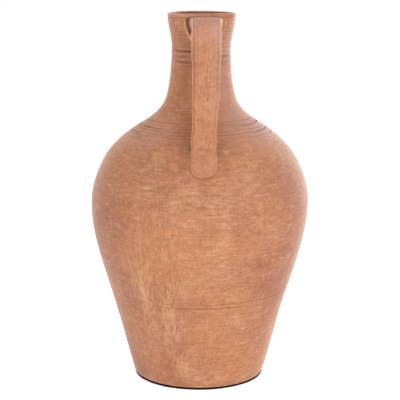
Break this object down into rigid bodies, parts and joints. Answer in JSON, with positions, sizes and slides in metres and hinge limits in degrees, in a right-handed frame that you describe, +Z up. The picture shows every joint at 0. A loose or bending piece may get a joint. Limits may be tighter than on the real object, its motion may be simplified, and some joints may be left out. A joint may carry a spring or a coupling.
{
  "type": "amphora",
  "caption": "Tall terracotta amphora with a rolled lip, narrow neck, incised shoulder rings, opposed strap handles from collar to shoulder and a flat padded foot.",
  "frame": {"origin": "centre of the flat rest face under the base pad, on the vessel's axis", "axes": "+Z up along the vessel's axis; the front strap handle points to -Y and the rear one to +Y, each set 4.5 mm to one side of the axis; +X to the right when looking at the front handle"},
  "size_m": [0.286, 0.286, 0.48],
  "materials": {
    "body_clay": "matte unglazed terracotta, wheel-turned, with pale dusty scuffs",
    "handle_clay": "matte unglazed terracotta, pulled strap with pale raised edges",
    "wad_clay": "matte unglazed terracotta, smeared and paler",
    "pad": "black felt"
  },
  "bodies": {
    "root": {"base_pad": "pad", "lower_body": "body_clay", "belly_body": "body_clay", "neck": "body_clay", "rim_collar": "body_clay", "front_handle": "handle_clay", "front_root_wad": "wad_clay", "front_foot_wad": "wad_clay", "rear_handle": "handle_clay", "rear_root_wad": "wad_clay", "rear_foot_wad": "wad_clay"}
  },
  "joints": []
}
